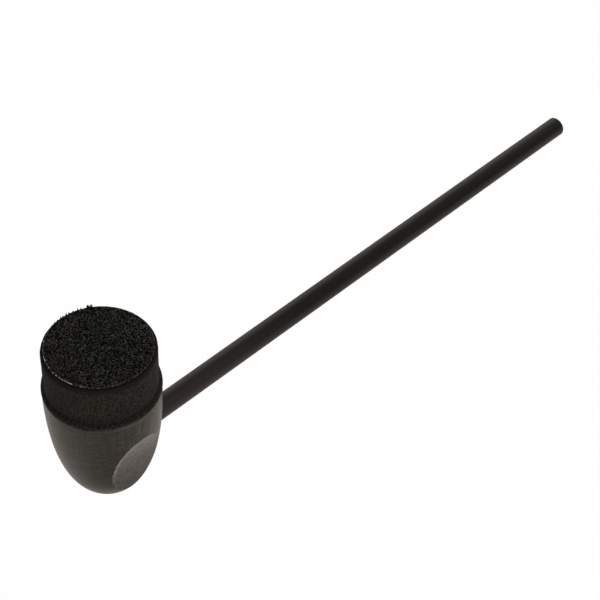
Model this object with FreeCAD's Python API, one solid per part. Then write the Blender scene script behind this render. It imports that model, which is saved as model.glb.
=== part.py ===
import FreeCAD, Part
import math
import os

# Bass drum beater, in millimetres.
# The shaft lies along X. The origin is on its axis where the full diameter ends, at the chamfer of
# the free end, so the pedal's hub comes on along -X. The head is at the -X end. Its axis is parallel
# to Z and its striking face looks along +Z.

# Shaft: a plain rod. Inside the head it is turned down to a seat, and then to a threaded tail.
# The full diameter ends just clear of the head's flank, so a hub can slide right up to the head.
SHAFT_DIAMETER = 8.0
SHAFT_REACH = 248.6
SHAFT_END_CHAMFER = 0.7
SEAT_STEP = 0.2
SEAT_START_INSIDE_RIM = 1.5
TAIL_DIAMETER = 6.0
TAIL_LENGTH = 13.0
TAIL_TIP_CHAMFER = 0.8

# Threaded insert: two hexagonal bands with a round groove between them, closed at its inner end.
# The shoulder of the shaft's seat is screwed up against its outer face.
INSERT_ACROSS_FLATS = 10.0
INSERT_GROOVE_DEPTH = 0.8
INSERT_GROOVE_LENGTH = 4.0
INSERT_END_WALL = 2.0
INSERT_FACE_FROM_AXIS = 8.0

# Head body: a bullet turned about the head's axis, flat on top where the pad is glued.
RIM_DIAMETER = 38.8
RIM_ROUND = 0.5
BODY_HEIGHT = 49.3
RIM_ABOVE_SHAFT = 30.8
FLANK_HANDLE = 18.3
NOSE_HANDLE = 17.3

# Thumb scallops on both sides of the body: each is cut by one large cylinder that lies along X.
SCALLOP_RADIUS = 97.5
SCALLOP_DEPTH_INSIDE_RIM = 7.1
SCALLOP_DEEPEST_BELOW_SHAFT = 16.0
SCALLOP_EDGE_ROUND = 0.6

# Foam pad: straight upper flank above a rounded foot that swells just past the body's rim.
FOAM_HEIGHT = 15.8
FOAM_FOOT_OVERHANG = 0.15
FOAM_FOOT_LAND = 0.3
FOAM_FOOT_HEIGHT = 2.1
FOAM_FOOT_SWELL = 1.05
FOAM_TOP_ROUND = 0.2

# Glue films and the looped fabric disc, which is as wide as the foam and well rounded at its edge.
BASE_ADHESIVE_THICKNESS = 0.3
BASE_ADHESIVE_INSET = 0.7
FACE_ADHESIVE_THICKNESS = 0.2
FACE_ADHESIVE_INSET = 0.4
FABRIC_THICKNESS = 1.9
FABRIC_EDGE_ROUND = 1.75

# Clearances: radial in the bores, along X at the tail's tip.
SEAT_CLEARANCE = 0.05
TAIL_CLEARANCE = 0.05
TAIL_TIP_GAP = 1.0

# How far a cutting shape runs past what it cuts.
CUT_MARGIN = 5.0

# Sizes that follow from the ones above.
SHAFT_RADIUS = SHAFT_DIAMETER / 2
SEAT_RADIUS = SHAFT_RADIUS - SEAT_STEP
TAIL_RADIUS = TAIL_DIAMETER / 2
RIM_RADIUS = RIM_DIAMETER / 2
FOAM_FOOT_RADIUS = RIM_RADIUS + FOAM_FOOT_OVERHANG
FOAM_RADIUS = FOAM_FOOT_RADIUS - FOAM_FOOT_SWELL
SCALLOP_CENTRE_OUT = RIM_RADIUS - SCALLOP_DEPTH_INSIDE_RIM + SCALLOP_RADIUS
FREE_END_X = SHAFT_END_CHAMFER
HEAD_X = FREE_END_X - SHAFT_REACH
SEAT_START_X = HEAD_X + RIM_RADIUS - SEAT_START_INSIDE_RIM
SHOULDER_X = HEAD_X + INSERT_FACE_FROM_AXIS
TAIL_BORE_DEPTH = TAIL_LENGTH + TAIL_TIP_GAP
INSERT_LENGTH = TAIL_BORE_DEPTH + INSERT_END_WALL
INSERT_BAND_LENGTH = (INSERT_LENGTH - INSERT_GROOVE_LENGTH) / 2
NOSE_Z = RIM_ABOVE_SHAFT - BODY_HEIGHT
BASE_ADHESIVE_Z = RIM_ABOVE_SHAFT
FOAM_Z = BASE_ADHESIVE_Z + BASE_ADHESIVE_THICKNESS
FACE_ADHESIVE_Z = FOAM_Z + FOAM_HEIGHT
FABRIC_Z = FACE_ADHESIVE_Z + FACE_ADHESIVE_THICKNESS

X_AXIS = FreeCAD.Vector(1, 0, 0)
Z_AXIS = FreeCAD.Vector(0, 0, 1)


def at_radius(radius, height):
    """A point of a head profile, in the half-plane on the shaft's side of the head's axis."""
    return FreeCAD.Vector(HEAD_X + radius, 0, height)


def line(start, end):
    return Part.LineSegment(start, end).toShape()


def arc(start, middle, end):
    return Part.Arc(start, middle, end).toShape()


def quarter_round(start, end, corner, radius):
    """Convex quarter arc from start to end about the corner of a square edge that it rounds off."""
    centre = start + end - corner
    outward = (corner - centre).normalize()
    return arc(start, centre + outward * radius, end)


def turned(edges):
    """Solid of revolution about the head's axis."""
    face = Part.Face(Part.Wire(edges))
    return face.revolve(FreeCAD.Vector(HEAD_X, 0, 0), Z_AXIS, 360)


def rod(radius, start_x, length):
    """Round rod along +X on the shaft's axis."""
    return Part.makeCylinder(radius, length, FreeCAD.Vector(start_x, 0, 0), X_AXIS)


def disc(radius, bottom_z, thickness):
    """Round disc on the head's axis."""
    return Part.makeCylinder(radius, thickness, FreeCAD.Vector(HEAD_X, 0, bottom_z), Z_AXIS)


def rounded_disc(radius, bottom_z, thickness, edge_round):
    """Disc with its upper edge rounded."""
    top = bottom_z + thickness
    corner = at_radius(radius, top)
    edge_start = at_radius(radius, top - edge_round)
    edge_end = at_radius(radius - edge_round, top)
    return turned([
        line(at_radius(0, top), at_radius(0, bottom_z)),
        line(at_radius(0, bottom_z), at_radius(radius, bottom_z)),
        line(at_radius(radius, bottom_z), edge_start),
        quarter_round(edge_start, edge_end, corner, edge_round),
        line(edge_end, at_radius(0, top)),
    ])


def shaft():
    """Half section of the rod, its seat and its tail, turned about the X axis."""
    tail_tip_x = SHOULDER_X - TAIL_LENGTH
    outline = [
        (tail_tip_x, 0),
        (tail_tip_x, TAIL_RADIUS - TAIL_TIP_CHAMFER),
        (tail_tip_x + TAIL_TIP_CHAMFER, TAIL_RADIUS),
        (SHOULDER_X, TAIL_RADIUS),
        (SHOULDER_X, SEAT_RADIUS),
        (SEAT_START_X, SEAT_RADIUS),
        (SEAT_START_X, SHAFT_RADIUS),
        (FREE_END_X - SHAFT_END_CHAMFER, SHAFT_RADIUS),
        (FREE_END_X, SHAFT_RADIUS - SHAFT_END_CHAMFER),
        (FREE_END_X, 0),
        (tail_tip_x, 0),
    ]
    wire = Part.makePolygon([FreeCAD.Vector(x, 0, radius) for x, radius in outline])
    return Part.Face(wire).revolve(FreeCAD.Vector(0, 0, 0), X_AXIS, 360)


def hexagonal_band(outer_face_x):
    """One hexagonal band of the insert, with a corner pointing up."""
    corner_radius = INSERT_ACROSS_FLATS / math.sqrt(3)
    corners = []
    for step in range(7):
        angle = math.radians(60 * step)
        corners.append(FreeCAD.Vector(
            outer_face_x, corner_radius * math.sin(angle), corner_radius * math.cos(angle)))
    face = Part.Face(Part.makePolygon(corners))
    return face.extrude(X_AXIS * -INSERT_BAND_LENGTH)


def insert_envelope():
    """Outside of the insert, which is also the cavity that the body is moulded round."""
    groove_x = SHOULDER_X - INSERT_BAND_LENGTH - INSERT_GROOVE_LENGTH
    groove_radius = INSERT_ACROSS_FLATS / 2 - INSERT_GROOVE_DEPTH
    outer_band = hexagonal_band(SHOULDER_X)
    groove = rod(groove_radius, groove_x, INSERT_GROOVE_LENGTH)
    inner_band = hexagonal_band(groove_x)
    return outer_band.fuse([groove, inner_band]).removeSplitter()


def threaded_insert():
    bore = rod(TAIL_RADIUS + TAIL_CLEARANCE, SHOULDER_X - TAIL_BORE_DEPTH, TAIL_BORE_DEPTH)
    return insert_envelope().cut(bore)


def bullet():
    """The body before it is cut: rounded rim, then one smooth curve down to the nose."""
    rim_z = RIM_ABOVE_SHAFT
    flank_start = at_radius(RIM_RADIUS, rim_z - RIM_ROUND)
    rim_edge = at_radius(RIM_RADIUS - RIM_ROUND, rim_z)
    nose = at_radius(0, NOSE_Z)
    side = Part.BezierCurve()
    side.setPoles([
        flank_start,
        flank_start - Z_AXIS * FLANK_HANDLE,
        at_radius(NOSE_HANDLE, NOSE_Z),
        nose,
    ])
    return turned([
        line(nose, at_radius(0, rim_z)),
        line(at_radius(0, rim_z), rim_edge),
        quarter_round(rim_edge, flank_start, at_radius(RIM_RADIUS, rim_z), RIM_ROUND),
        side.toShape(),
    ])


def scallop_cutter(side):
    """Cylinder along X that cuts the scallop on one side of the body, where side is -1 or 1."""
    start = FreeCAD.Vector(
        HEAD_X - RIM_RADIUS - CUT_MARGIN, side * SCALLOP_CENTRE_OUT, -SCALLOP_DEEPEST_BELOW_SHAFT)
    return Part.makeCylinder(SCALLOP_RADIUS, 2 * (RIM_RADIUS + CUT_MARGIN), start, X_AXIS)


def scallop_outline(body, cutter):
    """Edges of the body that run round one scallop."""
    edges = []
    for edge in body.Edges:
        middle = edge.valueAt((edge.FirstParameter + edge.LastParameter) / 2)
        if Part.Vertex(middle).distToShape(cutter)[0] < 1e-3:
            edges.append(edge)
    return edges


def head_body():
    body = bullet()
    for side in (-1, 1):
        cutter = scallop_cutter(side)
        body = body.cut(cutter)
        body = body.makeFillet(SCALLOP_EDGE_ROUND, scallop_outline(body, cutter))
    seat_bore = rod(SEAT_RADIUS + SEAT_CLEARANCE, SHOULDER_X, RIM_RADIUS + CUT_MARGIN)
    return body.cut([seat_bore, insert_envelope()])


def foam_pad():
    """Turned foam disc: foot land, rounded swell, straight flank and rounded top edge."""
    top = FOAM_Z + FOAM_HEIGHT
    land_z = FOAM_Z + FOAM_FOOT_LAND
    foot_top_z = FOAM_Z + FOAM_FOOT_HEIGHT
    rise = foot_top_z - land_z
    swell_radius = (rise ** 2 + FOAM_FOOT_SWELL ** 2) / (2 * FOAM_FOOT_SWELL)
    half_turn = math.asin(rise / swell_radius) / 2
    swell_middle = at_radius(
        FOAM_FOOT_RADIUS - swell_radius * (1 - math.cos(half_turn)),
        land_z + swell_radius * math.sin(half_turn))
    edge_start = at_radius(FOAM_RADIUS, top - FOAM_TOP_ROUND)
    edge_end = at_radius(FOAM_RADIUS - FOAM_TOP_ROUND, top)
    return turned([
        line(at_radius(0, top), at_radius(0, FOAM_Z)),
        line(at_radius(0, FOAM_Z), at_radius(FOAM_FOOT_RADIUS, FOAM_Z)),
        line(at_radius(FOAM_FOOT_RADIUS, FOAM_Z), at_radius(FOAM_FOOT_RADIUS, land_z)),
        arc(at_radius(FOAM_FOOT_RADIUS, land_z), swell_middle, at_radius(FOAM_RADIUS, foot_top_z)),
        line(at_radius(FOAM_RADIUS, foot_top_z), edge_start),
        quarter_round(edge_start, edge_end, at_radius(FOAM_RADIUS, top), FOAM_TOP_ROUND),
        line(edge_end, at_radius(0, top)),
    ])


def base_adhesive():
    return disc(RIM_RADIUS - BASE_ADHESIVE_INSET, BASE_ADHESIVE_Z, BASE_ADHESIVE_THICKNESS)


def face_adhesive():
    return disc(FOAM_RADIUS - FACE_ADHESIVE_INSET, FACE_ADHESIVE_Z, FACE_ADHESIVE_THICKNESS)


def face_fabric():
    return rounded_disc(FOAM_RADIUS, FABRIC_Z, FABRIC_THICKNESS, FABRIC_EDGE_ROUND)


PIECES = {
    "shaft": shaft,
    "threaded_insert": threaded_insert,
    "head_body": head_body,
    "base_adhesive": base_adhesive,
    "foam_pad": foam_pad,
    "face_adhesive": face_adhesive,
    "face_fabric": face_fabric,
}


def main():
    os.makedirs("parts", exist_ok=True)
    for name, make in PIECES.items():
        solid = make()
        solid.exportStep(os.path.join("parts", name + ".step"))
        print(name, "valid", solid.isValid(), "solids", len(solid.Solids), "volume", round(solid.Volume, 1))


main()
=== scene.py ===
"""Looks of a bass drum beater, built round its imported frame.

A black steel rod carries a bullet-shaped moulded head. The head's flat top holds a glued foam pad, and
the pad is faced with a disc of looped fabric, which is what strikes the drum.
Lengths are in metres, in the frame's own axes.
"""

import logging
import math
import random
from dataclasses import asdict, dataclass
from enum import Enum

import bmesh
import bpy
from bmesh.types import BMesh
from bpy.types import Material, Mesh, NodeInputs, NodeOutputs, NodeSocket, NodeTree, Object, ShaderNode
from mathutils import Matrix, Vector, noise


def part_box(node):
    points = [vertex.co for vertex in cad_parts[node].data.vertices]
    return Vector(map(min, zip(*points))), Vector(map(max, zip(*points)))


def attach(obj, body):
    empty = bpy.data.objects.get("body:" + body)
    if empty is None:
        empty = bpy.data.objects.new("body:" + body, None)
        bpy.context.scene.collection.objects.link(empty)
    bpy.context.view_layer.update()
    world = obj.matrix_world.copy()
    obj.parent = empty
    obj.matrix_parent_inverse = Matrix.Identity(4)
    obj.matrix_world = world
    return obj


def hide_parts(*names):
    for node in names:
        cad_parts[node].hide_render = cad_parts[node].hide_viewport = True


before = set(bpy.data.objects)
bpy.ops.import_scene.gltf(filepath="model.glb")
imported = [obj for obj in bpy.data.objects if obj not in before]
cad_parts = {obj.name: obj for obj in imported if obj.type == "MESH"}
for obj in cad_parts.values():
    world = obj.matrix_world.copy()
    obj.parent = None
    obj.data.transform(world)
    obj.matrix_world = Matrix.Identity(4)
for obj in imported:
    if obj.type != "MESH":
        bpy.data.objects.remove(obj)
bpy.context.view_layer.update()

MM = 0.001
MERGE_DISTANCE = 0.001 * MM
ROOT = "root"
WHITE = "#ffffff"

# Setting that makes a Mix node mix colours.
COLOURS = {"data_type": "RGBA"}

# What feeds a node's sockets, by name or number: a value, another node's output or another node.
Feed = dict[str | int, object]

log = logging.getLogger("beater")


class Node(Enum):
    """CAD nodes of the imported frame."""

    SHAFT = "shaft"
    INSERT = "threaded_insert"
    BODY = "head_body"
    BASE_GLUE = "base_adhesive"
    FOAM = "foam_pad"
    FACE_GLUE = "face_adhesive"
    FABRIC = "face_fabric"


class Slot(Enum):
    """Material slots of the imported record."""

    FOAM = "pad_foam"
    FABRIC = "loop_fabric"


def linear(hex_colour: str) -> tuple[float, float, float, float]:
    """Turns an sRGB hex colour to the linear values that shaders take.

    Args:
        hex_colour: Six hex digits after a hash sign.

    Returns:
        Red, green, blue and an alpha of 1.
    """
    channels = [int(hex_colour[i:i + 2], 16) / 255 for i in (1, 3, 5)]
    red, green, blue = (c / 12.92 if c <= 0.04045 else ((c + 0.055) / 1.055) ** 2.4 for c in channels)
    return red, green, blue, 1.0


def per_mm(size_mm: float) -> float:
    """Texture scale at which one cell of a pattern is this many millimetres wide."""
    return 1 / (size_mm * MM)


def live(sockets: NodeInputs | NodeOutputs, name: str | None = None) -> NodeSocket:
    """First of a node's sockets that its settings leave in use, or the first such socket of this name."""
    return next(socket for socket in sockets if socket.enabled and name in (None, socket.name))


def add_node(tree: NodeTree, kind: str, settings: dict[str, str] | None = None,
             links: Feed | None = None) -> ShaderNode:
    """Adds one shader node with its settings and links.

    Args:
        tree: Node tree of a material or of the world.
        kind: Blender's name for the node's type, after ShaderNode.
        settings: Values of the node's own properties, by name.
        links: What feeds its input sockets. A node stands for its first output that is in use.

    Returns:
        The new node.
    """
    node = tree.nodes.new("ShaderNode" + kind)
    for name, value in (settings or {}).items():
        setattr(node, name, value)
    for key, source in (links or {}).items():
        socket = node.inputs[key] if isinstance(key, int) else live(node.inputs, key)
        if isinstance(source, ShaderNode):
            source = live(source.outputs)
        if isinstance(source, NodeSocket):
            tree.links.new(source, socket)
        else:
            socket.default_value = source
    return node


@dataclass(frozen=True)
class Finish:
    """A surface finish: a named material whose shader is fed by a pattern in the piece's own space."""

    name: str

    def material(self) -> Material:
        """Makes the material.

        Returns:
            A node material with this finish's pattern.
        """
        material = bpy.data.materials.new(self.name)
        material.use_nodes = True
        tree = material.node_tree
        tree.nodes.clear()
        place = add_node(tree, "TexCoord").outputs["Object"]
        shader = add_node(tree, "BsdfPrincipled", links=self.dress(tree, place))
        add_node(tree, "OutputMaterial", links={"Surface": shader})
        return material

    def dress(self, tree: NodeTree, place: NodeSocket) -> Feed:
        """Draws this finish's pattern.

        Args:
            tree: The material's node tree.
            place: Output that gives the point's place on the piece.

        Returns:
            What feeds the surface shader.
        """
        raise NotImplementedError


@dataclass(frozen=True)
class SatinBlackCoating(Finish):
    """Thin black coating on centreless-ground steel: satin, with faint grinding rings under it.

    It is paler next to the head.
    """

    paler_from_x: float
    paler_to_x: float
    coat: str = "#131110"
    rubbed: str = "#221f1c"
    near_head: str = "#363130"

    # Real grinding rings are hundredths of a millimetre apart. They are drawn coarser so that they show.
    ring_mm: float = 0.3
    ring_stretch: float = 0.06
    ring_low: float = 0.3
    ring_high: float = 0.7
    ring_depth_mm: float = 0.004
    ring_strength: float = 0.5

    cloud_mm: float = 6.0
    cloud_stretch: float = 0.12
    rub_from: float = 0.42
    rub_to: float = 0.75
    rub_most: float = 0.7
    smoothest: float = 0.32
    roughest: float = 0.46
    shine: float = 0.45

    def dress(self, tree: NodeTree, place: NodeSocket) -> Feed:
        """Lays grinding rings round the rod's X axis and cloudy rubbing along it.

        Args:
            tree: The material's node tree.
            place: Output that gives the point's place on the piece.

        Returns:
            What feeds the surface shader.
        """
        round_the_rod = add_node(tree, "Mapping", links={
            "Vector": place, "Scale": (1.0, self.ring_stretch, self.ring_stretch)})
        rings = add_node(tree, "TexNoise", links={
            "Vector": round_the_rod, "Scale": per_mm(self.ring_mm), "Detail": 3.0})
        along_the_rod = add_node(tree, "Mapping", links={
            "Vector": place, "Scale": (self.cloud_stretch, 1.0, 1.0)})
        clouds = add_node(tree, "TexNoise", links={
            "Vector": along_the_rod, "Scale": per_mm(self.cloud_mm), "Detail": 4.0})
        rubbing = add_node(tree, "MapRange", links={
            "Value": clouds, "From Min": self.rub_from, "From Max": self.rub_to, "To Max": self.rub_most})
        colour = add_node(tree, "Mix", COLOURS, {
            "Factor": rubbing, "A": linear(self.coat), "B": linear(self.rubbed)})
        along = add_node(tree, "SeparateXYZ", links={"Vector": place}).outputs["X"]
        # The rod's colour turns paler toward the head.
        toward_head = add_node(tree, "MapRange", {"interpolation_type": "SMOOTHSTEP"}, {
            "Value": along, "From Min": self.paler_from_x, "From Max": self.paler_to_x})
        lightened = add_node(tree, "Mix", COLOURS, {"Factor": toward_head, "A": colour, "B": linear(self.near_head)})
        roughness = add_node(tree, "MapRange", links={
            "Value": rings, "From Min": self.ring_low, "From Max": self.ring_high,
            "To Min": self.smoothest, "To Max": self.roughest})
        bump = add_node(tree, "Bump", links={
            "Height": rings, "Strength": self.ring_strength, "Distance": self.ring_depth_mm * MM})
        return {"Base Color": lightened, "Roughness": roughness, "Normal": bump, "Specular IOR Level": self.shine}


@dataclass(frozen=True)
class MouldedNylon(Finish):
    """Black filled nylon: a semi-matt moulded skin with fine level marks and faint upright rub marks.

    The scallops were cut after moulding, so their faces are paler and smoother, with cutter marks and scuffs
    along X. The rim is rubbed paler. The nose has a painted reflection of the floor, and the scallops have a
    painted reflection toward their tops and front ends and a painted highlight along their front borders.
    """

    head_x: float
    rim_z: float
    cutter_radius: float
    cutter_centre_out: float
    cutter_centre_z: float
    skin_at_rod: float
    skin_slope: float
    skin_bend: float
    deep: str = "#080706"
    pale: str = "#393531"
    cut: str = "#514d49"
    # Pale colour of real scuffs and rubbing, and of the painted highlights and reflections on the nose and
    # the scallops.
    lightened: str = "#c4bdb3"

    # Patterns, with how each is stretched and how much it adds to the relief or the tone. The real marks and
    # grain are about a tenth of a millimetre wide. They are drawn coarser so that they show.
    mark_mm: float = 0.5
    mark_stretch: float = 0.1
    mark_depth_mm: float = 0.12
    mark_strength: float = 0.8
    rub_mm: float = 1.1
    rub_stretch: float = 0.07
    rub_weight: float = 0.3
    cloud_mm: float = 8.0
    cloud_weight: float = 0.2
    cutter_mm: float = 0.9
    cutter_stretch: float = 0.2
    cutter_weight: float = 1.3
    grain_mm: float = 0.6
    grain_weight: float = 0.7
    scuff_mm: float = 0.7
    scuff_stretch: float = 0.45
    tone_from: float = 1.02
    tone_to: float = 1.18

    # Roughness of the skin between two depths of its pattern, and of the scallops.
    smooth_from: float = 0.85
    rough_to: float = 1.3
    smoothest: float = 0.16
    roughest: float = 0.27
    cut_roughness: float = 0.13

    # Wear of the skin: at the rim and in streaks down the sides that are gripped. The nose is painted paler,
    # as a painted reflection of the floor.
    rim_width: float = 2.0 * MM
    rim_wear: float = 0.12
    streak_from: float = 0.45
    streak_to: float = 0.6
    fade_from: float = 16.5 * MM
    fade_to: float = 18.5 * MM
    held_wear: float = 0.05
    nose_from_z: float = -3.5 * MM
    nose_to_z: float = -9.5 * MM
    nose_reflection: float = 0.3

    # How far past the cutter's surface the scallop's face fades in.
    edge_width: float = 0.04 * MM
    edge_full: float = 0.004 * MM

    # Wear of the scallops: scuffs all over. Painted light on them: a painted reflection of the floor, paler
    # toward their tops and front ends, and a painted highlight along the front border.
    scuff_wear: float = 0.15
    speckle_from: float = 0.36
    speckle_to: float = 0.62
    # Painted reflection of the floor, paler toward the scallops' tops and front ends: heights, width along X,
    # least and most share.
    reflection_from_z: float = 6 * MM
    reflection_to_z: float = 17 * MM
    reflection_width: float = 24 * MM
    reflection_least: float = 0.12
    reflection_most: float = 0.6
    # Painted highlight along the scallops' front border: its width along X, heights, depth of cut and
    # strength.
    front_width: float = 4 * MM
    border_from_z: float = -2 * MM
    border_to_z: float = 14 * MM
    border_depth: float = 1.2 * MM
    border_full: float = 0.24 * MM
    border_highlight: float = 1.9

    def dress(self, tree: NodeTree, place: NodeSocket) -> Feed:
        """Lays marks and grain over the skin, and sets the cut and worn scallops off from it.

        Args:
            tree: The material's node tree.
            place: Output that gives the point's place on the piece.

        Returns:
            What feeds the surface shader.
        """
        axes = add_node(tree, "SeparateXYZ", links={"Vector": place}).outputs
        outward = add_node(tree, "Math", {"operation": "ABSOLUTE"}, {0: axes["Y"]})
        scallop = self.scallop(tree, axes, outward)
        level = add_node(tree, "Mapping", links={
            "Vector": place, "Scale": (self.mark_stretch, self.mark_stretch, 1.0)})
        marks = add_node(tree, "TexNoise", links={
            "Vector": level, "Scale": per_mm(self.mark_mm), "Detail": 4.0, "Roughness": 0.6})
        upright = add_node(tree, "Mapping", links={"Vector": place, "Scale": (1.0, 1.0, self.rub_stretch)})
        rubs = add_node(tree, "TexNoise", links={
            "Vector": upright, "Scale": per_mm(self.rub_mm), "Detail": 3.0})
        clouds = add_node(tree, "TexNoise", links={
            "Vector": place, "Scale": per_mm(self.cloud_mm), "Detail": 4.0})
        along = add_node(tree, "Mapping", links={"Vector": place, "Scale": (self.cutter_stretch, 1.0, 1.0)})
        cutting = add_node(tree, "TexNoise", links={
            "Vector": along, "Scale": per_mm(self.cutter_mm), "Detail": 4.0, "Roughness": 0.7})
        grain = add_node(tree, "TexNoise", links={
            "Vector": place, "Scale": per_mm(self.grain_mm), "Detail": 2.0})

        skin_lines = add_node(tree, "Math", {"operation": "MULTIPLY_ADD"}, {
            0: rubs, 1: self.rub_weight, 2: marks})
        cut_lines = add_node(tree, "Math", {"operation": "MULTIPLY"}, {0: cutting, 1: self.cutter_weight})
        lines = add_node(tree, "Mix", links={"Factor": scallop, "A": skin_lines, "B": cut_lines})
        relief = add_node(tree, "Math", {"operation": "MULTIPLY_ADD"}, {
            0: grain, 1: self.grain_weight, 2: lines})
        mottle = add_node(tree, "Math", {"operation": "MULTIPLY_ADD"}, {
            0: clouds, 1: self.cloud_weight, 2: relief})

        tone = add_node(tree, "MapRange", links={
            "Value": mottle, "From Min": self.tone_from, "From Max": self.tone_to})
        lighter = add_node(tree, "Mix", COLOURS, {
            "Factor": scallop, "A": linear(self.pale), "B": linear(self.cut)})
        face = add_node(tree, "Mix", COLOURS, {"Factor": tone, "A": linear(self.deep), "B": lighter})
        # Real rubbing and scuffs, with the painted reflections and highlights on the nose and the scallops.
        wear_and_painted_light = add_node(tree, "Mix", links={
            "Factor": scallop, "A": self.skin_wear_and_painted_reflection(tree, axes, outward, rubs),
            "B": self.scallop_scuffs_and_painted_light(tree, place, axes)})
        colour = add_node(tree, "Mix", COLOURS, {"Factor": wear_and_painted_light, "A": face, "B": linear(self.lightened)})
        skin_roughness = add_node(tree, "MapRange", links={
            "Value": mottle, "From Min": self.smooth_from, "From Max": self.rough_to,
            "To Min": self.smoothest, "To Max": self.roughest})
        roughness = add_node(tree, "Mix", links={
            "Factor": scallop, "A": skin_roughness, "B": self.cut_roughness})
        bump = add_node(tree, "Bump", links={
            "Height": relief, "Strength": self.mark_strength, "Distance": self.mark_depth_mm * MM})
        return {"Base Color": colour, "Roughness": roughness, "Normal": bump}

    def scallop(self, tree: NodeTree, axes: NodeOutputs, outward: ShaderNode) -> ShaderNode:
        """Tells the cut scallops from the moulded skin by the distance from the cutter's axis.

        Args:
            tree: The material's node tree.
            axes: The point's place, axis by axis.
            outward: The point's distance from the middle plane.

        Returns:
            Node that gives 1 on a scallop and 0 on the skin.
        """
        section = add_node(tree, "CombineXYZ", links={"Y": outward, "Z": axes["Z"]})
        reach = add_node(tree, "VectorMath", {"operation": "DISTANCE"}, {
            0: section, 1: (0.0, self.cutter_centre_out, self.cutter_centre_z)})
        return add_node(tree, "MapRange", links={
            "Value": reach, "From Min": self.cutter_radius + self.edge_width,
            "From Max": self.cutter_radius + self.edge_full})

    def skin_wear_and_painted_reflection(self, tree: NodeTree, axes: NodeOutputs, outward: ShaderNode,
                  rubs: ShaderNode) -> ShaderNode:
        """Wears the skin at the rim and on the gripped sides, and paints a reflection of the floor on the
        nose.

        Args:
            tree: The material's node tree.
            axes: The point's place, axis by axis.
            outward: The point's distance from the middle plane.
            rubs: Upright rub marks.

        Returns:
            Node that gives how much the skin is lightened: rubbed at the rim and sides, and painted paler on
            the nose.
        """
        rim = add_node(tree, "MapRange", links={
            "Value": axes["Z"], "From Min": self.rim_z - self.rim_width, "From Max": self.rim_z,
            "To Max": self.rim_wear})
        streaks = add_node(tree, "MapRange", links={
            "Value": rubs, "From Min": self.streak_from, "From Max": self.streak_to,
            "To Max": self.held_wear})
        gripped = add_node(tree, "Math", {"operation": "MAXIMUM"}, {0: rim, 1: streaks})
        held = add_node(tree, "MapRange", links={
            "Value": outward, "From Min": self.fade_from, "From Max": self.fade_to})
        on_sides = add_node(tree, "Math", {"operation": "MULTIPLY"}, {0: gripped, 1: held})
        # Painted reflection of the floor: the nose is paler toward its bottom.
        nose = add_node(tree, "MapRange", links={
            "Value": axes["Z"], "From Min": self.nose_from_z, "From Max": self.nose_to_z,
            "To Max": self.nose_reflection})
        return add_node(tree, "Math", {"operation": "MAXIMUM"}, {0: on_sides, 1: nose})

    def scallop_scuffs_and_painted_light(self, tree: NodeTree, place: NodeSocket, axes: NodeOutputs) -> ShaderNode:
        """Scuffs the scallops and paints a reflection and a front-border highlight on them.

        Args:
            tree: The material's node tree.
            place: Output that gives the point's place on the piece.
            axes: The point's place, axis by axis.

        Returns:
            Node that gives how much a scallop is lightened by scuffs and by painted light.
        """
        # Depth of the cut under the skin that was there, which is none along the scallop's border.
        leaning = add_node(tree, "Math", {"operation": "MULTIPLY_ADD"}, {
            0: axes["Z"], 1: self.skin_bend, 2: self.skin_slope})
        skin = add_node(tree, "Math", {"operation": "MULTIPLY_ADD"}, {
            0: leaning, 1: axes["Z"], 2: self.skin_at_rod})
        flat = add_node(tree, "VectorMath", {"operation": "MULTIPLY"}, {0: place, 1: (1.0, 1.0, 0.0)})
        from_axis = add_node(tree, "VectorMath", {"operation": "DISTANCE"}, {
            0: flat, 1: (self.head_x, 0.0, 0.0)})
        depth = add_node(tree, "Math", {"operation": "SUBTRACT"}, {0: skin, 1: from_axis})

        # Painted highlight along the front border of the scallop, strongest high up and toward the front end.
        front = add_node(tree, "MapRange", links={
            "Value": axes["X"], "From Min": self.head_x, "From Max": self.head_x - self.front_width,
            "To Max": self.border_highlight})
        upper = add_node(tree, "MapRange", links={
            "Value": axes["Z"], "From Min": self.border_from_z, "From Max": self.border_to_z,
            "To Max": front})
        border = add_node(tree, "MapRange", links={
            "Value": depth, "From Min": self.border_depth, "From Max": self.border_full, "To Max": upper})
        # Painted reflection of the floor: paler toward the scallop's top and front end, over scuffs all over.
        rising = add_node(tree, "MapRange", links={
            "Value": axes["Z"], "From Min": self.reflection_from_z, "From Max": self.reflection_to_z})
        across = add_node(tree, "MapRange", links={
            "Value": axes["X"], "From Min": self.head_x + self.reflection_width / 2,
            "From Max": self.head_x - self.reflection_width / 2,
            "To Min": self.reflection_least, "To Max": self.reflection_most})
        scuffs_and_reflection = add_node(tree, "Math", {"operation": "MULTIPLY_ADD"}, {
            0: rising, 1: across, 2: self.scuff_wear})
        scuffs_and_painted_light = add_node(tree, "Math", {"operation": "MAXIMUM"}, {0: scuffs_and_reflection, 1: border})

        along = add_node(tree, "Mapping", links={"Vector": place, "Scale": (self.scuff_stretch, 1.0, 1.0)})
        scuffs = add_node(tree, "TexNoise", links={
            "Vector": along, "Scale": per_mm(self.scuff_mm), "Detail": 4.0, "Roughness": 0.65})
        speckle = add_node(tree, "MapRange", links={
            "Value": scuffs, "From Min": self.speckle_from, "From Max": self.speckle_to})
        return add_node(tree, "Math", {"operation": "MULTIPLY"}, {0: scuffs_and_painted_light, 1: speckle})


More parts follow.
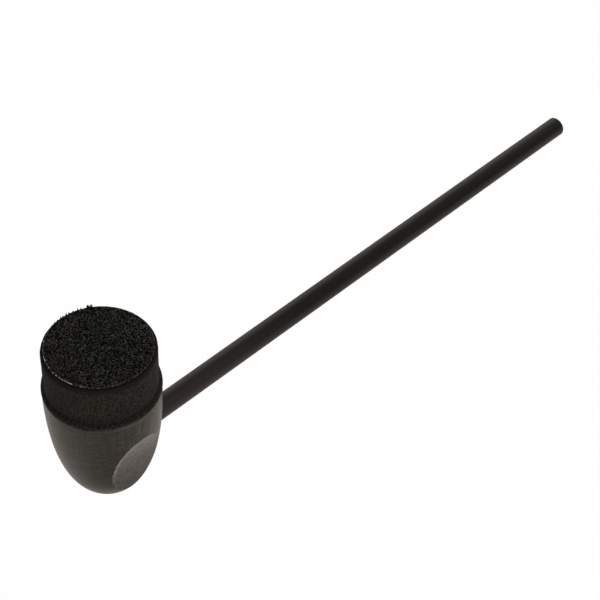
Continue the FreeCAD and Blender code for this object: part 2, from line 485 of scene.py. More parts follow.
@dataclass(frozen=True)
class TurnedBrass(Finish):
    """Bare turned brass: yellow metal with tool rings along its X axis."""

    bright: str = "#c9a55c"
    dull: str = "#8f7440"
    ring_mm: float = 0.25
    ring_stretch: float = 0.05
    ring_depth_mm: float = 0.01
    ring_strength: float = 0.5
    roughness: float = 0.32

    def dress(self, tree: NodeTree, place: NodeSocket) -> Feed:
        """Lays tool rings round the insert's X axis.

        Args:
            tree: The material's node tree.
            place: Output that gives the point's place on the piece.

        Returns:
            What feeds the surface shader.
        """
        across = add_node(tree, "Mapping", links={
            "Vector": place, "Scale": (1.0, self.ring_stretch, self.ring_stretch)})
        rings = add_node(tree, "TexNoise", links={
            "Vector": across, "Scale": per_mm(self.ring_mm), "Detail": 2.0})
        colour = add_node(tree, "Mix", COLOURS, {
            "Factor": rings, "A": linear(self.dull), "B": linear(self.bright)})
        bump = add_node(tree, "Bump", links={
            "Height": rings, "Strength": self.ring_strength, "Distance": self.ring_depth_mm * MM})
        return {"Base Color": colour, "Normal": bump, "Metallic": 1.0, "Roughness": self.roughness}


@dataclass(frozen=True)
class ContactCement(Finish):
    """Dried contact cement: a rubbery film that is lumpy where it was squeezed out."""

    film: str = "#0e0d0c"
    lump: str = "#221f1b"
    lump_mm: float = 0.8
    lump_depth_mm: float = 0.05
    lump_strength: float = 0.6
    roughness: float = 0.55
    shine: float = 0.3

    def dress(self, tree: NodeTree, place: NodeSocket) -> Feed:
        """Lays soft lumps over the film.

        Args:
            tree: The material's node tree.
            place: Output that gives the point's place on the piece.

        Returns:
            What feeds the surface shader.
        """
        lumps = add_node(tree, "TexNoise", links={
            "Vector": place, "Scale": per_mm(self.lump_mm), "Detail": 3.0})
        colour = add_node(tree, "Mix", COLOURS, {
            "Factor": lumps, "A": linear(self.film), "B": linear(self.lump)})
        bump = add_node(tree, "Bump", links={
            "Height": lumps, "Strength": self.lump_strength, "Distance": self.lump_depth_mm * MM})
        return {"Base Color": colour, "Normal": bump, "Roughness": self.roughness,
                "Specular IOR Level": self.shine}


@dataclass(frozen=True)
class FoamRubber(Finish):
    """Closed-cell foam rubber, die-cut: fully matt, with tiny cut cells on every cut face.

    The crease above the foot has painted shade: the cells' tone is darkened there.
    """

    crease_z: float
    wall: str = "#3c3d38"
    pit: str = "#151514"

    # Real cells are about a third of a millimetre wide. They are drawn coarser so that they show.
    cell_mm: float = 0.7
    cell_depth_mm: float = 0.06
    cell_strength: float = 0.5

    cloud_mm: float = 1.1
    pit_from: float = 0.12
    pit_to: float = 0.32
    # Painted shade in the crease above the foot: how far it fades out above and below, and the share of tone
    # left in it.
    crease_above: float = 5.0 * MM
    crease_below: float = 1.3 * MM
    crease_shade: float = 0.5
    roughness: float = 0.95
    shine: float = 0.15
    dust: float = 0.04

    def dress(self, tree: NodeTree, place: NodeSocket) -> Feed:
        """Lays cut cells of uneven depth over the foam, with painted shade in the crease above the foot.

        Args:
            tree: The material's node tree.
            place: Output that gives the point's place on the piece.

        Returns:
            What feeds the surface shader.
        """
        cells = add_node(tree, "TexVoronoi", links={"Vector": place, "Scale": per_mm(self.cell_mm)})
        clouds = add_node(tree, "TexNoise", links={
            "Vector": place, "Scale": per_mm(self.cloud_mm), "Detail": 5.0, "Roughness": 0.65})
        pits = add_node(tree, "Math", {"operation": "MULTIPLY"}, {0: cells, 1: clouds})
        open_tone = add_node(tree, "MapRange", links={
            "Value": pits, "From Min": self.pit_from, "From Max": self.pit_to})
        # Painted shade: the tone is darkened in the crease above the foot.
        height = add_node(tree, "SeparateXYZ", links={"Vector": place}).outputs["Z"]
        above = add_node(tree, "MapRange", links={
            "Value": height, "From Min": self.crease_z, "From Max": self.crease_z + self.crease_above})
        below = add_node(tree, "MapRange", links={
            "Value": height, "From Min": self.crease_z, "From Max": self.crease_z - self.crease_below})
        clear = add_node(tree, "Math", {"operation": "MAXIMUM"}, {0: above, 1: below})
        crease_shading = add_node(tree, "MapRange", links={"Value": clear, "To Min": self.crease_shade})
        tone = add_node(tree, "Math", {"operation": "MULTIPLY"}, {0: open_tone, 1: crease_shading})
        colour = add_node(tree, "Mix", COLOURS, {
            "Factor": tone, "A": linear(self.pit), "B": linear(self.wall)})
        bump = add_node(tree, "Bump", links={
            "Height": pits, "Strength": self.cell_strength, "Distance": self.cell_depth_mm * MM})
        return {"Base Color": colour, "Normal": bump, "Roughness": self.roughness,
                "Specular IOR Level": self.shine, "Sheen Weight": self.dust}


@dataclass(frozen=True)
class LoopYarn(Finish):
    """Black nylon loop yarn: each loop has its own depth of black, and its filaments catch a little light."""

    deep: str = "#0c0c0b"
    grey: str = "#9da29b"
    shade_layer: str = "loop_shade"

    # Real filaments are a few hundredths of a millimetre thick. They are drawn coarser so that they show.
    filament_mm: float = 0.12

    tone_from: float = 0.05
    tone_to: float = 0.6
    roughness: float = 0.6
    shine: float = 0.3

    def dress(self, tree: NodeTree, place: NodeSocket) -> Feed:
        """Takes each loop's own shade from the mesh and breaks it up with filaments.

        Args:
            tree: The material's node tree.
            place: Output that gives the point's place on the piece.

        Returns:
            What feeds the surface shader.
        """
        shade = add_node(tree, "Attribute", {"attribute_name": self.shade_layer}).outputs["Fac"]
        filaments = add_node(tree, "TexNoise", links={
            "Vector": place, "Scale": per_mm(self.filament_mm), "Detail": 1.0})
        broken = add_node(tree, "Math", {"operation": "MULTIPLY"}, {0: shade, 1: filaments})
        tone = add_node(tree, "MapRange", links={
            "Value": broken, "From Min": self.tone_from, "From Max": self.tone_to})
        colour = add_node(tree, "Mix", COLOURS, {
            "Factor": tone, "A": linear(self.deep), "B": linear(self.grey)})
        return {"Base Color": colour, "Roughness": self.roughness, "Specular IOR Level": self.shine}


@dataclass(frozen=True)
class FabricGround(Finish):
    """Knitted ground under the loops: black, matt, with a fine stitch."""

    axis_x: float
    side_from: float
    side_to: float
    yarn: str = "#121111"
    gap: str = "#050505"
    side: str = "#2b2b29"
    stitch_mm: float = 0.5
    stitch_depth_mm: float = 0.08
    stitch_strength: float = 0.7
    roughness: float = 0.9
    shine: float = 0.1

    def dress(self, tree: NodeTree, place: NodeSocket) -> Feed:
        """Lays a fine stitch over the ground, paler down its side, where there are no loops.

        Args:
            tree: The material's node tree.
            place: Output that gives the point's place on the piece.

        Returns:
            What feeds the surface shader.
        """
        stitches = add_node(tree, "TexVoronoi", links={"Vector": place, "Scale": per_mm(self.stitch_mm)})
        colour = add_node(tree, "Mix", COLOURS, {
            "Factor": stitches, "A": linear(self.yarn), "B": linear(self.gap)})
        level = add_node(tree, "VectorMath", {"operation": "MULTIPLY"}, {0: place, 1: (1.0, 1.0, 0.0)})
        reach = add_node(tree, "VectorMath", {"operation": "DISTANCE"}, {
            0: level, 1: (self.axis_x, 0.0, 0.0)})
        outside = add_node(tree, "MapRange", links={
            "Value": reach, "From Min": self.side_from, "From Max": self.side_to})
        shaded = add_node(tree, "Mix", COLOURS, {"Factor": outside, "A": colour, "B": linear(self.side)})
        bump = add_node(tree, "Bump", links={
            "Height": stitches, "Strength": self.stitch_strength, "Distance": self.stitch_depth_mm * MM})
        return {"Base Color": shaded, "Normal": bump, "Roughness": self.roughness,
                "Specular IOR Level": self.shine}


@dataclass(frozen=True)
class SealedEdge(Finish):
    """Cut edge of the fabric, sealed by heat: a thin broken line, palest where the cutter ended."""

    axis_x: float
    radius: float
    dark: str = "#262422"
    pale: str = "#f2f0ec"
    palest_turn: float = math.radians(178.0)
    near_from: float = 0.6
    near_to: float = 0.9
    far_share: float = 0.2
    bead_mm: float = 0.8
    bead_from: float = 0.48
    bead_to: float = 0.66
    roughness: float = 0.6
    shine: float = 0.3

    def dress(self, tree: NodeTree, place: NodeSocket) -> Feed:
        """Breaks the pale line into beads, and fades it away from the side where it is palest.

        Args:
            tree: The material's node tree.
            place: Output that gives the point's place on the piece.

        Returns:
            What feeds the surface shader.
        """
        toward = (math.cos(self.palest_turn) / self.radius, math.sin(self.palest_turn) / self.radius, 0.0)
        from_axis = add_node(tree, "VectorMath", {"operation": "SUBTRACT"}, {
            0: place, 1: (self.axis_x, 0.0, 0.0)})
        side = add_node(tree, "VectorMath", {"operation": "DOT_PRODUCT"}, {0: from_axis, 1: toward})
        nearness = add_node(tree, "MapRange", links={
            "Value": side, "From Min": self.near_from, "From Max": self.near_to, "To Min": self.far_share})
        beads = add_node(tree, "TexNoise", links={
            "Vector": place, "Scale": per_mm(self.bead_mm), "Detail": 3.0})
        broken = add_node(tree, "MapRange", links={
            "Value": beads, "From Min": self.bead_from, "From Max": self.bead_to})
        tone = add_node(tree, "Math", {"operation": "MULTIPLY"}, {0: broken, 1: nearness})
        colour = add_node(tree, "Mix", COLOURS, {
            "Factor": tone, "A": linear(self.dark), "B": linear(self.pale)})
        return {"Base Color": colour, "Roughness": self.roughness, "Specular IOR Level": self.shine}


def dress_node(node: Node, finish: Finish) -> None:
    """Gives a CAD node its finish.

    Args:
        node: The node, which keeps its shape.
        finish: What its surface is made of.
    """
    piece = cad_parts[node.value]
    piece.data.materials.clear()
    piece.data.materials.append(finish.material())
    log.info("%s wears %s", node.value, finish.name)


def make_piece(bm: BMesh, name: str, finish: Finish) -> Object:
    """Turns a finished bmesh into a piece that rides on the frame.

    Args:
        bm: The mesh, in the frame's own axes. It is freed here.
        name: The piece's name.
        finish: What its surface is made of.

    Returns:
        The new piece.
    """
    mesh = bpy.data.meshes.new(name)
    bm.to_mesh(mesh)
    bm.free()
    mesh.shade_smooth()
    mesh.materials.append(finish.material())
    piece = bpy.data.objects.new(name, mesh)
    bpy.context.scene.collection.objects.link(piece)
    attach(piece, ROOT)
    log.info("%s has %d faces and wears %s", name, len(mesh.polygons), finish.name)
    return piece


def middle_x(node: Node) -> float:
    """Where the middle of a CAD node lies along X."""
    low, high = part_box(node.value)
    return (low.x + high.x) / 2


def turn_outline(bm: BMesh, outline: list[tuple[float, float]], axis_x: float, steps: int,
                 closed: bool) -> None:
    """Spins an outline all the way round the head's axis.

    Args:
        bm: Mesh that takes the turned surface.
        outline: Radius and height of each point, in order.
        axis_x: Where the head's axis stands along X.
        steps: Faces round the axis.
        closed: Whether the last point joins the first.
    """
    points = [bm.verts.new((axis_x + radius, 0.0, height)) for radius, height in outline]
    ends = points[1:] + points[:1] if closed else points[1:]
    edges = [bm.edges.new(pair) for pair in zip(points, ends)]
    bmesh.ops.spin(bm, geom=points + edges, cent=(axis_x, 0.0, 0.0), axis=(0.0, 0.0, 1.0),
                   angle=math.tau, steps=steps, use_merge=True)
    bmesh.ops.remove_doubles(bm, verts=bm.verts, dist=MERGE_DISTANCE)
    bmesh.ops.recalc_face_normals(bm, faces=bm.faces)


def arc_points(centre: tuple[float, float], radius: float, start: float, end: float,
               count: int) -> list[tuple[float, float]]:
    """Points along a circular stretch of an outline.

    Args:
        centre: Radius and height of the arc's centre.
        radius: Radius of the arc itself.
        start: First angle, from outwards, in radians.
        end: Last angle.
        count: How many points, both ends included.

    Returns:
        Radius and height of each point.
    """
    angles = [start + (end - start) * i / (count - 1) for i in range(count)]
    return [(centre[0] + radius * math.cos(a), centre[1] + radius * math.sin(a)) for a in angles]


def straight_points(start: tuple[float, float], end: tuple[float, float],
                    spacing: float) -> list[tuple[float, float]]:
    """Evenly spaced points along a straight stretch of an outline, without its last one.

    Args:
        start: Radius and height of the first point.
        end: Radius and height of the point that isn't repeated.
        spacing: About how far apart the points are.

    Returns:
        Radius and height of each point.
    """
    count = max(1, round(math.dist(start, end) / spacing))
    return [(start[0] + (end[0] - start[0]) * i / count, start[1] + (end[1] - start[1]) * i / count)
            for i in range(count)]


def heading(azimuth: float, elevation: float) -> Vector:
    """Unit vector toward an azimuth and an elevation in degrees."""
    turn, rise = math.radians(azimuth), math.radians(elevation)
    return Vector((math.cos(turn) * math.cos(rise), math.sin(turn) * math.cos(rise), math.sin(rise)))


@dataclass
class Shaft:
    """Straight black rod, which keeps its CAD shape and is paler next to the head."""

    # Where the rod starts and ends turning paler, from the head's axis.
    fade_from: float = 105 * MM
    fade_to: float = 24 * MM

    def dress(self) -> None:
        """Coats the rod."""
        head_x = middle_x(Node.BODY)
        dress_node(Node.SHAFT, SatinBlackCoating(
            "satin_black_coating_on_ground_steel", paler_from_x=head_x + self.fade_from,
            paler_to_x=head_x + self.fade_to))


@dataclass
class Head:
    """Moulded body with its insert and the glue under the pad, which all keep their CAD shapes.

    The body's finish follows its rim, its skin and the cutters of its scallops.
    """

    rim_z: float = 30.8 * MM
    cutter_radius: float = 97.5 * MM
    cutter_centre_out: float = 109.8 * MM
    cutter_centre_z: float = -16.0 * MM

    # Radius of the skin before it was cut, level with the rod, and how it grows with height from there.
    skin_at_rod: float = 16.48 * MM
    skin_slope: float = 0.2283
    skin_bend: float = -4.81

    def dress(self) -> None:
        """Gives the body, the insert and the glue their finishes."""
        dress_node(Node.BODY, MouldedNylon(
            "moulded_filled_nylon", head_x=middle_x(Node.BODY), **asdict(self)))
        dress_node(Node.INSERT, TurnedBrass("turned_brass"))
        dress_node(Node.BASE_GLUE, ContactCement("dried_contact_cement"))


@dataclass
class FoamPad:
    """Die-cut foam pad: a straight upper flank above a rounded foot that swells to the body's rim."""

    foot_land: float = 0.3 * MM
    foot_height: float = 2.1 * MM
    foot_swell: float = 1.05 * MM
    foot_points: int = 12
    crease_share: float = 0.72
    top_round: float = 0.2 * MM
    top_points: int = 6
    grid: float = 0.5 * MM
    steps: int = 240
    unevenness: float = 0.06 * MM
    dent_width: float = 3.5 * MM
    fine_dents: int = 3
    fine_share: float = 0.5

    def outline(self, low: Vector, high: Vector) -> list[tuple[float, float]]:
        """Half section of the pad.

        Args:
            low: Lowest corner of the CAD pad.
            high: Highest corner of the CAD pad.

        Returns:
            Radius and height of each point, from the middle of the base to the middle of the top.
        """
        foot = (high.y - low.y) / 2
        flank = foot - self.foot_swell
        rise = self.foot_height - self.foot_land
        swell = (rise ** 2 + self.foot_swell ** 2) / (2 * self.foot_swell)
        turn = math.asin(rise / swell)
        land_z = low.z + self.foot_land
        edge = (flank - self.top_round, high.z - self.top_round)
        return (
            straight_points((0.0, low.z), (foot, low.z), self.foot_swell)
            + straight_points((foot, low.z), (foot, land_z), self.grid)
            + arc_points((foot - swell, land_z), swell, 0.0, turn, self.foot_points)[:-1]
            + straight_points((flank, low.z + self.foot_height), (flank, edge[1]), self.grid)
            + arc_points(edge, self.top_round, 0.0, math.pi / 2, self.top_points)
            + straight_points((edge[0], high.z), (0.0, high.z), self.grid)[1:]
            + [(0.0, high.z)]
        )

    def build(self) -> Object:
        """Builds the pad in the place of its CAD solid.

        Returns:
            The pad.
        """
        low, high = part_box(Node.FOAM.value)
        axis_x = middle_x(Node.FOAM)
        bm = bmesh.new()
        turn_outline(bm, self.outline(low, high), axis_x, self.steps, closed=False)
        for vert in bm.verts:
            above = min(1.0, (vert.co.z - low.z) / self.foot_land)
            below = min(1.0, (high.z - vert.co.z) / self.top_round)
            fine = noise.noise(vert.co * self.fine_dents / self.dent_width)
            dent = noise.noise(vert.co / self.dent_width) + self.fine_share * fine
            outward = Vector((vert.co.x - axis_x, vert.co.y, 0.0))
            if outward.length > self.top_round:
                vert.co += outward.normalized() * dent * self.unevenness * above * below
        finish = FoamRubber("closed_cell_foam_rubber", crease_z=low.z + self.crease_share * self.foot_height)
        piece = make_piece(bm, "foam_pad_cut", finish)
        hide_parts(Node.FOAM.value)
        return piece


@dataclass
class StrikingFace:
    """Disc of looped fabric glued on the pad.

    It has a ground with a rounded shoulder, a sealed edge, and loops that stand on the ground inside it.
    """

    edge_round: float = 1.75 * MM
    shoulder_points: int = 14
    seal_inset: float = 1.1 * MM
    bare_from: float = 0.084 * MM
    pile_recess: float = 0.3 * MM
    grid: float = 1 * MM
    steps: int = 240
    edge_thickness: float = 0.28 * MM
    edge_sides: int = 8
    edge_steps: int = 480
    edge_lump: float = 0.8
    edge_wobble: float = 0.09 * MM
    wobble_width: float = 1.2 * MM
    wobble_from: float = 6 * MM
    lumps_in_wobble: float = 1.7

    # Loops: how far each is scattered and leans, and between what shares its width and height vary.
    loop_spacing: float = 0.42 * MM
    loop_width: float = 0.7 * MM
    loop_height: float = 0.42 * MM
    loop_steps: int = 4
    yarn_thickness: float = 0.12 * MM
    yarn_sides: int = 3
    scatter: float = 0.22
    lean: float = math.radians(32.0)
    widths: tuple[float, float] = (0.7, 1.35)
    heights: tuple[float, float] = (0.7, 1.15)
    rim_scatter: float = 0.3
    rim_turn: float = 0.3
    rim_widths: tuple[float, float] = (0.7, 1.1)
    rim_heights: tuple[float, float] = (0.6, 1.0)
    sways: tuple[float, ...] = (-0.22 * MM, 0.0, 0.22 * MM)
    shade_power: int = 2
    seed: int = 7

    # Loops that were pulled up along the rim: where round it, in degrees, and how high.
    pulled_loops: tuple[tuple[float, float], ...] = (
        (56.5, 1.2 * MM), (57.3, 1.55 * MM), (58.3, 1.4 * MM), (59.4, 1.2 * MM), (60.4, 1.3 * MM),
        (61.2, 1.55 * MM), (62.0, 1.5 * MM), (69.0, 1.1 * MM), (72.5, 1.25 * MM), (78.0, 1.1 * MM),
        (83.0, 1.2 * MM), (86.5, 1.3 * MM), (91.0, 1.15 * MM), (94.0, 1.3 * MM), (99.0, 1.1 * MM),
        (104.0, 1.2 * MM), (109.0, 1.05 * MM), (114.0, 1.1 * MM), (354.0, 0.95 * MM))
    pulled_width: float = 0.5 * MM
    pulled_thickness: float = 0.32 * MM

    def frame_sizes(self) -> tuple[Vector, float, float]:
        """Sizes that the disc takes from its CAD solid.

        Returns:
            Centre of its underside, its radius and its thickness.
        """
        low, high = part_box(Node.FABRIC.value)
        return Vector((middle_x(Node.FABRIC), 0.0, low.z)), (high.y - low.y) / 2, high.z - low.z

    def shoulder(self) -> list[tuple[float, float]]:
        """Rounded shoulder of the disc, from its side up to the sealed edge.

        Returns:
            Radius and height of each point.
        """
        centre, radius, thickness = self.frame_sizes()
        middle = (radius - self.edge_round, centre.z + thickness - self.edge_round)
        end = math.acos(1 - self.seal_inset / self.edge_round)
        return arc_points(middle, self.edge_round, 0.0, end, self.shoulder_points)

    def build_ground(self) -> Object:
        """Builds the knitted ground, with a slightly ragged shoulder round the lower floor of the pile.

        Returns:
            The ground.
        """
        centre, radius, thickness = self.frame_sizes()
        floor = centre.z + thickness - self.pile_recess
        shoulder = self.shoulder()
        seal = shoulder[-1][0]
        outline = (
            straight_points((0.0, centre.z), (radius, centre.z), self.grid)
            + [(radius, centre.z)]
            + shoulder
            + straight_points((seal - self.edge_thickness, floor), (0.0, floor), self.grid)
            + [(0.0, floor)]
        )
        bm = bmesh.new()
        turn_outline(bm, outline, centre.x, self.steps, closed=False)
        self.wobble(bm, centre)
        finish = FabricGround("black_knitted_ground", axis_x=centre.x, side_from=seal + self.bare_from,
                              side_to=radius)
        piece = make_piece(bm, "fabric_ground", finish)
        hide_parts(Node.FABRIC.value)
        return piece

    def wobble(self, bm: BMesh, centre: Vector) -> None:
        """Makes a turned edge as uneven as cut fabric is.

        Args:
            bm: Mesh turned about the head's axis.
            centre: Centre of the disc's underside.
        """
        for vert in bm.verts:
            outward = Vector((vert.co.x - centre.x, vert.co.y, 0.0))
            if outward.length > self.wobble_from:
                swing = noise.noise(outward / self.wobble_width)
                vert.co += outward.normalized() * swing * self.edge_wobble

    def build_edge(self) -> Object:
        """Builds the sealed edge, a lumpy bead where the loops end.

        Returns:
            The edge.
        """
        centre, _, _ = self.frame_sizes()
        seal = self.shoulder()[-1]
        outline = arc_points(seal, self.edge_thickness / 2, 0.0, math.tau, self.edge_sides + 1)[:-1]
        bm = bmesh.new()
        turn_outline(bm, outline, centre.x, self.edge_steps, closed=True)
        for vert in bm.verts:
            outward = Vector((vert.co.x - centre.x, vert.co.y, 0.0)).normalized()
            core = outward * seal[0] + Vector((centre.x, 0.0, seal[1]))
            lump = max(0.0, noise.noise(outward * seal[0] * self.lumps_in_wobble / self.wobble_width))
            vert.co += (vert.co - core) * self.edge_lump * lump
        self.wobble(bm, centre)
        finish = SealedEdge("heat_sealed_fabric_edge", axis_x=centre.x, radius=seal[0])
        return make_piece(bm, "fabric_sealed_edge", finish)

    def pile_floor(self) -> tuple[float, Matrix]:
        """Floor that the loops stand on.

        Returns:
            How far it reaches from the axis, and where its middle is.
        """
        centre, _, thickness = self.frame_sizes()
        middle = Vector((centre.x, 0.0, centre.z + thickness - self.pile_recess))
        return self.shoulder()[-1][0] - self.edge_thickness, Matrix.Translation(middle)

    def loop_mesh(self, sway: float, thickness: float) -> Mesh:
        """Makes one loop, an arch of yarn that stands on its two feet.

        Args:
            sway: How far its sides swing out of its plane, each its own way.
            thickness: How thick the yarn is.

        Returns:
            The loop, in the middle of the origin.
        """
        bm = bmesh.new()
        foot = Matrix.Translation((self.loop_width / 2, 0.0, 0.0))
        ring = bmesh.ops.create_circle(bm, segments=self.yarn_sides, radius=thickness / 2, matrix=foot)
        bmesh.ops.spin(bm, geom=ring["verts"] + list(bm.edges), cent=(0.0, 0.0, 0.0), axis=(0.0, 1.0, 0.0),
                       angle=-math.pi, steps=self.loop_steps)
        bmesh.ops.holes_fill(bm, edges=[e for e in bm.edges if e.is_boundary])
        bmesh.ops.recalc_face_normals(bm, faces=bm.faces)
        for vert in bm.verts:
            vert.co.y += sway * math.sin(math.tau * vert.co.x / self.loop_width)
        mesh = bpy.data.meshes.new("loop")
        bm.to_mesh(mesh)
        bm.free()
        return mesh

    def loop_places(self, draw: random.Random) -> list[Matrix]:
        """Scatters the loops over the ground in uneven rows, and sets one more row along the rim.

        Args:
            draw: Source of the scatter.

        Returns:
            Place, lean and stretch of each loop.
        """
        tall = 2 * self.loop_height / self.loop_width
        reach, top = self.pile_floor()
        row_step = self.loop_spacing * math.sqrt(3) / 2
        rows = math.ceil(reach / row_step)
        places = []
        for row in range(-rows, rows + 1):
            for column in range(-rows, rows + 1):
                x = (column + 0.5 * (row % 2) + draw.gauss(0, self.scatter)) * self.loop_spacing
                y = row * row_step + draw.gauss(0, self.scatter) * self.loop_spacing
                lean_x, lean_y = self.lean * draw.gauss(0, 1), self.lean * draw.gauss(0, 1)
                stretch = (draw.uniform(*self.widths), 1.0, tall * draw.uniform(*self.heights), 1.0)
                turn = Matrix.Rotation(draw.uniform(0, math.tau), 4, "Z")
                if math.hypot(x, y) < reach:
                    places.append(
                        top @ Matrix.Translation((x, y, 0.0)) @ Matrix.Rotation(lean_x, 4, "X")
                        @ Matrix.Rotation(lean_y, 4, "Y") @ turn @ Matrix.Diagonal(stretch))
        rim_loops = round(math.tau * reach / self.loop_spacing)
        for step in range(rim_loops):
            angle = math.tau * (step + draw.uniform(-self.rim_scatter, self.rim_scatter)) / rim_loops
            outward = Matrix.Translation((reach * math.cos(angle), reach * math.sin(angle), 0.0))
            stretch = (draw.uniform(*self.rim_widths), 1.0, tall * draw.uniform(*self.rim_heights), 1.0)
            along = Matrix.Rotation(angle + math.pi / 2 + draw.gauss(0, self.rim_turn), 4, "Z")
            places.append(top @ outward @ along @ Matrix.Diagonal(stretch))
        return places

    def pulled_places(self) -> list[Matrix]:
        """Stands the loops that were pulled up along the rim.

        Returns:
            Place and stretch of each loop.
        """
        reach, top = self.pile_floor()
        places = []
        for degrees, height in self.pulled_loops:
            angle = math.radians(degrees)
            outward = Matrix.Translation((reach * math.cos(angle), reach * math.sin(angle), 0.0))
            stretch = (self.pulled_width / self.loop_width, 1.0, 2 * height / self.loop_width, 1.0)
            places.append(top @ outward @ Matrix.Rotation(angle, 4, "Z") @ Matrix.Diagonal(stretch))
        return places

    def build_pile(self) -> Object:
        """Builds the loops, small arches of yarn that stand on the ground at every angle.

        Returns:
            The pile.
        """
        draw = random.Random(self.seed)
        arches = [self.loop_mesh(sway, self.yarn_thickness) for sway in self.sways]
        pulled = self.loop_mesh(0.0, self.pulled_thickness)
        loops = [(draw.choice(arches), place, draw.random() ** self.shade_power)
                 for place in self.loop_places(draw)]
        loops += [(pulled, place, 0.0) for place in self.pulled_places()]
        bm = bmesh.new()
        shades = []
        for arch, place, shade in loops:
            loop = arch.copy()
            loop.transform(place)
            bm.from_mesh(loop)
            shades += [shade] * len(loop.vertices)
            bpy.data.meshes.remove(loop)
        for arch in arches + [pulled]:
            bpy.data.meshes.remove(arch)
        finish = LoopYarn("black_nylon_loop_yarn")
        piece = make_piece(bm, "fabric_loops", finish)
        layer = piece.data.attributes.new(finish.shade_layer, "FLOAT", "POINT")
        layer.data.foreach_set("value", shades)
        return piece

    def build(self) -> Object:
        """Builds the whole face and gives the glue under it its finish.

        Returns:
            The fabric's ground.
        """
        ground = self.build_ground()
        edge = self.build_edge()
        pile = self.build_pile()
        dress_node(Node.FACE_GLUE, ContactCement("dried_face_cement", film="#1a1917", lump="#2c2925"))
        return ground


@dataclass
class Softbox:
    """Square soft lamp with warm white light, which faces the head."""

    name: str
    azimuth: float
    elevation: float
    distance: float
    side: float
    radiance: float
    colour: str

    def build(self, target: Vector) -> None:
        """Sets the lamp up.

        Args:
            target: What it faces.
        """
        out = heading(self.azimuth, self.elevation)
        lamp = bpy.data.lights.new(self.name, "AREA")
        lamp.size = self.side
        lamp.energy = self.radiance * math.pi * self.side ** 2
        lamp.color = linear(self.colour)[:3]
        holder = bpy.data.objects.new(self.name, lamp)
        bpy.context.scene.collection.objects.link(holder)
        holder.location = target + out * self.distance
        holder.rotation_euler = out.to_track_quat("Z", "Y").to_euler()
        log.info("lamp %s set up", self.name)


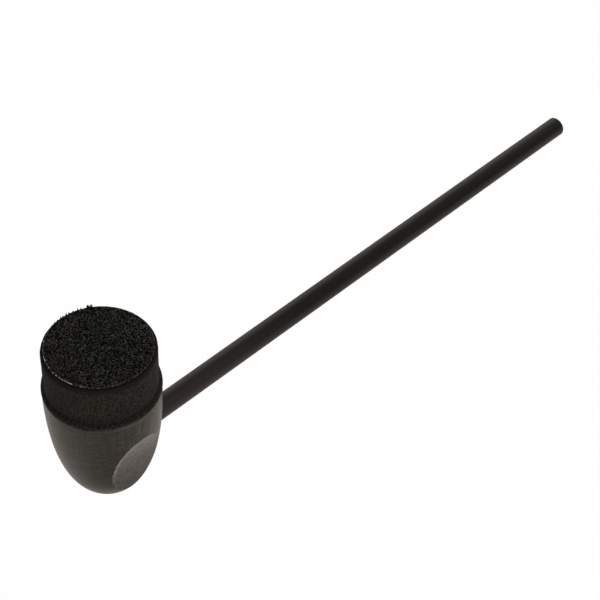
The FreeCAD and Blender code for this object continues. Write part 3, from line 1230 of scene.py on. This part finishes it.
@dataclass
class Studio:
    """White paper sweep: a pale floor that glows up behind the object, a dim room in front, two softboxes."""

    floor_side: float = 12.0
    floor_colour: str = "#e6e6e6"
    light_colour: str = "#fff5eb"
    seen_share: float = 0.99
    floor_mirrored: float = 0.53
    floor_shaded: float = 0.31
    shade_shift: float = 22.5 * MM
    shade_azimuth: float = 246.0
    shade_from: float = 9 * MM
    shade_to: float = 32 * MM
    room_mirrored: float = 0.02
    room: float = 0.16
    sweep: float = 0.85
    sweep_azimuth: float = 50.0
    sweep_elevation: float = 2.0
    sweep_from: float = 0.45

    def seen(self, tree: NodeTree) -> tuple[ShaderNode, NodeSocket]:
        """Says which rays see the backdrop as a plain bright surface.

        Args:
            tree: Node tree of the floor's material or of the world.

        Returns:
            Node that gives 1 for the camera's own view, and output that is 1 for a reflection on the object.
        """
        path = add_node(tree, "LightPath").outputs
        direct = add_node(tree, "Math", {"operation": "MAXIMUM"}, {
            0: path["Is Camera Ray"], 1: path["Is Transmission Ray"]})
        return direct, path["Is Glossy Ray"]

    def build_floor(self, foot: Vector) -> None:
        """Lays the floor under the head's nose. What is mirrored of it is darker where the head shades it.

        Args:
            foot: Where the head's axis meets the floor.
        """
        bm = bmesh.new()
        bmesh.ops.create_grid(bm, x_segments=1, y_segments=1, size=self.floor_side / 2,
                              matrix=Matrix.Translation((0.0, 0.0, foot.z)))
        mesh = bpy.data.meshes.new("studio_floor")
        bm.to_mesh(mesh)
        bm.free()
        material = bpy.data.materials.new("pale_matt_floor")
        material.use_nodes = True
        tree = material.node_tree
        tree.nodes.clear()
        direct, mirrored = self.seen(tree)
        matt = add_node(tree, "BsdfDiffuse", links={"Color": linear(self.floor_colour)})
        colour = add_node(tree, "Mix", COLOURS, {
            "Factor": mirrored, "A": linear(WHITE), "B": linear(self.light_colour)})
        reach = add_node(tree, "VectorMath", {"operation": "DISTANCE"}, {
            0: add_node(tree, "TexCoord").outputs["Object"],
            1: foot + self.shade_shift * heading(self.shade_azimuth, 0.0)})
        shade = add_node(tree, "MapRange", links={
            "Value": reach, "From Min": self.shade_from, "From Max": self.shade_to,
            "To Min": self.floor_shaded, "To Max": self.floor_mirrored})
        strength = add_node(tree, "MapRange", links={"Value": mirrored, "To Min": 1.0, "To Max": shade})
        plain = add_node(tree, "Emission", links={"Color": colour, "Strength": strength})
        share = add_node(tree, "Math", {"operation": "MULTIPLY_ADD"}, {
            0: direct, 1: self.seen_share, 2: mirrored})
        mixed = add_node(tree, "MixShader", links={"Fac": share, 1: matt, 2: plain})
        add_node(tree, "OutputMaterial", links={"Surface": mixed})
        mesh.materials.append(material)
        floor = bpy.data.objects.new("studio_floor", mesh)
        bpy.context.scene.collection.objects.link(floor)

    def build_surround(self) -> None:
        """Lights the scene from the sweep behind the object, and a little from the room."""
        world = bpy.data.worlds.new("studio_surround")
        world.use_nodes = True
        bpy.context.scene.world = world
        tree = world.node_tree
        tree.nodes.clear()
        toward = add_node(tree, "VectorMath", {"operation": "DOT_PRODUCT"}, {
            0: add_node(tree, "TexCoord").outputs["Generated"],
            1: heading(self.sweep_azimuth, self.sweep_elevation)})
        glow = add_node(tree, "MapRange", {"interpolation_type": "SMOOTHSTEP"}, {
            "Value": toward, "From Min": self.sweep_from, "To Min": self.room, "To Max": self.sweep})
        direct, mirrored = self.seen(tree)
        share = add_node(tree, "Math", {"operation": "MULTIPLY_ADD"}, {
            0: mirrored, 1: self.room_mirrored, 2: direct})
        strength = add_node(tree, "Mix", links={"Factor": share, "A": glow, "B": 1.0})
        colour = add_node(tree, "Mix", COLOURS, {
            "Factor": direct, "A": linear(self.light_colour), "B": linear(WHITE)})
        background = add_node(tree, "Background", links={"Color": colour, "Strength": strength})
        add_node(tree, "OutputWorld", links={"Surface": background})

    def build(self, target: Vector, floor_height: float) -> None:
        """Sets the studio up round the head.

        Args:
            target: What the lamps face.
            floor_height: Where the floor lies.
        """
        self.build_floor(Vector((target.x, target.y, floor_height)))
        self.build_surround()
        Softbox("key_softbox", azimuth=250.0, elevation=34.0, distance=1.6, side=2.0, radiance=0.75,
                colour=self.light_colour).build(target)
        Softbox("fill_softbox", azimuth=0.0, elevation=12.0, distance=2.4, side=1.4, radiance=1.0,
                colour=self.light_colour).build(target)


@dataclass
class Viewpoint:
    """Camera at the photograph's viewing angle, aimed from the middle of the pad's seam."""

    azimuth: float = -48.07
    elevation: float = 45.44
    roll: float = 3.19
    distance: float = 489.56 * MM
    slide_right: float = 63.77 * MM
    slide_up: float = 27.22 * MM
    lens_mm: float = 91.21
    sensor_mm: float = 36.0

    def build(self, seam: Vector) -> None:
        """Sets the camera up.

        Args:
            seam: Middle of the seam between body and pad.
        """
        turn, rise, tip = (math.radians(a) for a in (self.azimuth, self.elevation, self.roll))
        back = Vector((math.sin(turn) * math.cos(rise), -math.cos(turn) * math.cos(rise), math.sin(rise)))
        level = Vector((math.cos(turn), math.sin(turn), 0.0))
        above = back.cross(level)
        right = math.cos(tip) * level + math.sin(tip) * above
        up = math.cos(tip) * above - math.sin(tip) * level
        data = bpy.data.cameras.new("photo_camera")
        data.lens = self.lens_mm
        data.sensor_width = self.sensor_mm
        camera = bpy.data.objects.new("photo_camera", data)
        bpy.context.scene.collection.objects.link(camera)
        place = seam + back * self.distance + right * self.slide_right + up * self.slide_up
        turned = Matrix((right, up, back)).transposed().to_4x4()
        camera.matrix_world = Matrix.Translation(place) @ turned
        bpy.context.scene.camera = camera


def main() -> None:
    """Builds and dresses the beater, then its studio and camera."""
    logging.basicConfig(level=logging.INFO, format="%(name)s: %(message)s")
    bpy.context.scene.view_settings.view_transform = "Standard"
    low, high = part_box(Node.BODY.value)
    seam = Vector((middle_x(Node.BODY), 0.0, high.z))
    Shaft().dress()
    Head().dress()
    FoamPad().build()
    StrikingFace().build()
    Studio().build(target=seam, floor_height=low.z)
    Viewpoint().build(seam)


if __name__ == "__main__":
    main()
